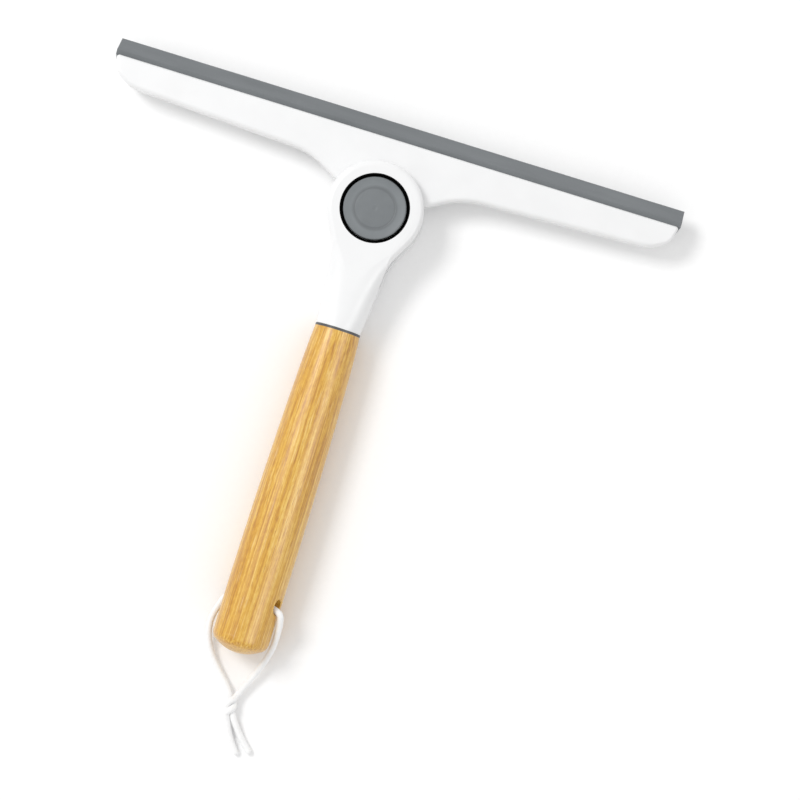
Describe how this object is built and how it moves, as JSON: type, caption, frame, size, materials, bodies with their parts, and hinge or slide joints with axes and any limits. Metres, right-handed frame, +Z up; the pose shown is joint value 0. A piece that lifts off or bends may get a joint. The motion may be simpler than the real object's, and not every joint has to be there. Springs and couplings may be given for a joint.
{
  "type": "window squeegee",
  "caption": "Window squeegee with a rubber wiping blade on a head that folds at a push-button hinge, a round wooden handle and a knotted hanging cord.",
  "frame": {"origin": "on the rest plane, under the middle of the tool's box (cord left out), the tool lying on its back", "axes": "+X along the blade, +Y from the handle's end to the blade's edge, +Z up out of the front face, the way the push button faces"},
  "size_m": [0.2816, 0.3113, 0.0276],
  "materials": {
    "bamboo": "clear lacquer over laminated bamboo",
    "white_shell": "white moulded plastic, semi-gloss",
    "grey_button": "cool grey moulded plastic, satin",
    "grey_rubber": "cool grey soft rubber, satin",
    "collar_grey": "dark grey plastic, satin",
    "black_plastic": "black plastic, matt",
    "steel": "zinc-plated steel",
    "spring_steel": "drawn spring wire",
    "acetal": "natural acetal, matt",
    "nylon_strip": "natural polypropylene, matt",
    "white_cord": "twisted white synthetic cord"
  },
  "bodies": {
    "handle": {"handle_grip": "bamboo", "handle_collar": "collar_grey", "neck_front_shell": "white_shell", "neck_rear_shell": "white_shell", "neck_screws": "steel", "pivot_screw": "steel", "pivot_washer": "steel", "friction_washer_front": "acetal", "friction_washer_rear": "acetal", "button_guide_ring": "black_plastic", "return_spring": "spring_steel", "cord_right": "white_cord", "cord_left": "white_cord"},
    "head": {"head_front_shell": "white_shell", "head_rear_shell": "white_shell", "head_screws": "steel", "squeegee_blade": "grey_rubber", "blade_carrier": "nylon_strip"},
    "button": {"button_cap": "grey_button", "lock_gear": "acetal"}
  },
  "joints": [
    {"name": "head_pivot", "type": "hinge", "parent": "handle", "child": "head", "pos_m": [0, 0.0878, 0.0125], "axis": [0, 0, 1], "range_deg": [-90, 90]},
    {"name": "button_press", "type": "slide", "parent": "handle", "child": "button", "axis": [0, 0, -1], "range_m": [0, 0.0035], "stiffness_N_per_m": 1500, "springref_m": -0.003, "deforming": ["return_spring"]}
  ]
}
